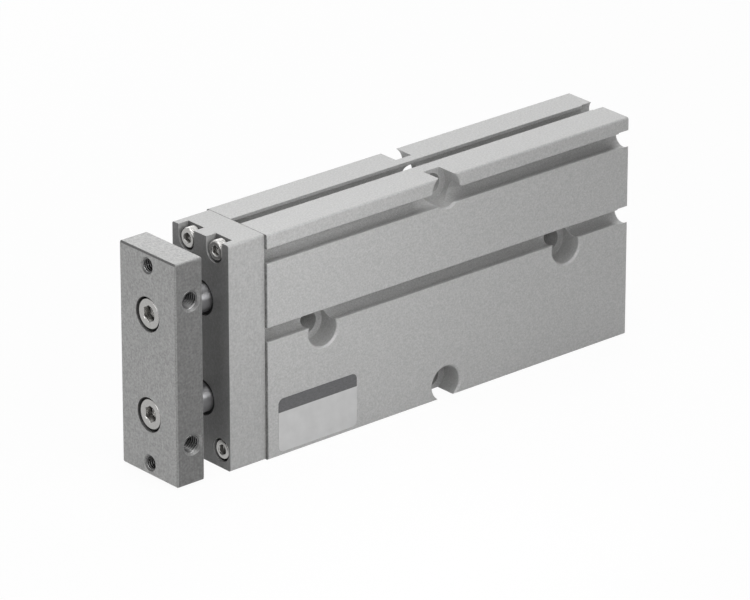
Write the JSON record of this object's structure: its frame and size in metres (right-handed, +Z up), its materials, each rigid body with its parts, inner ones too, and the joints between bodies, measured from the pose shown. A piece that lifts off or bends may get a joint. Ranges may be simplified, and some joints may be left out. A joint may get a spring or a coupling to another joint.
{
  "type": "twin rod guided cylinder",
  "caption": "Flat pneumatic cylinder whose side by side pistons, in one grooved extruded body, push an end plate straight without letting it turn.",
  "frame": {"origin": "under the middle of the whole part, on the plane that it stands on, with the rods fully in", "axes": "+X along the rods from the end plate to the closed rear end, +Z up, -Y the side with the label field"},
  "size_m": [0.1554, 0.024, 0.063],
  "materials": {
    "body_aluminium": "extruded, matt blasted and clear anodised",
    "cover_aluminium": "machined, clear anodised",
    "plate_aluminium": "milled with a fine straight grain, clear anodised",
    "screw_steel": "bright zinc or nickel plated",
    "nut_steel": "zinc plated",
    "rod_chrome": "hard chromed and ground",
    "bush_bronze": "sintered bearing bronze",
    "seal_rubber": "black nitrile rubber",
    "plug_aluminium": "turned, clear anodised",
    "spring_steel": "phosphated spring steel",
    "piston_aluminium": "turned, chromated",
    "wear_ring_plastic": "plain bearing resin",
    "magnet_compound": "bonded ferrite",
    "bumper_urethane": "cast urethane"
  },
  "bodies": {
    "cylinder": {"cylinder_body": "body_aluminium", "rod_cover": "cover_aluminium", "cover_screws": "screw_steel", "upper_rod_bush": "bush_bronze", "upper_rod_seal": "seal_rubber", "upper_cover_o_ring": "seal_rubber", "upper_head_plug": "plug_aluminium", "upper_plug_o_ring": "seal_rubber", "upper_snap_ring": "spring_steel", "lower_rod_bush": "bush_bronze", "lower_rod_seal": "seal_rubber", "lower_cover_o_ring": "seal_rubber", "lower_head_plug": "plug_aluminium", "lower_plug_o_ring": "seal_rubber", "lower_snap_ring": "spring_steel"},
    "carriage": {"end_plate": "plate_aluminium", "plate_screws": "screw_steel", "piston_nuts": "nut_steel", "piston_magnet": "magnet_compound", "upper_rod": "rod_chrome", "upper_piston": "piston_aluminium", "upper_wear_ring": "wear_ring_plastic", "upper_piston_seal": "seal_rubber", "upper_front_bumper": "bumper_urethane", "upper_rear_bumper": "bumper_urethane", "lower_rod": "rod_chrome", "lower_piston": "piston_aluminium", "lower_wear_ring": "wear_ring_plastic", "lower_piston_seal": "seal_rubber", "lower_front_bumper": "bumper_urethane", "lower_rear_bumper": "bumper_urethane"}
  },
  "joints": [
    {"name": "rod_slide", "type": "slide", "parent": "cylinder", "child": "carriage", "axis": [-1, 0, 0], "range_m": [0, 0.05]}
  ]
}
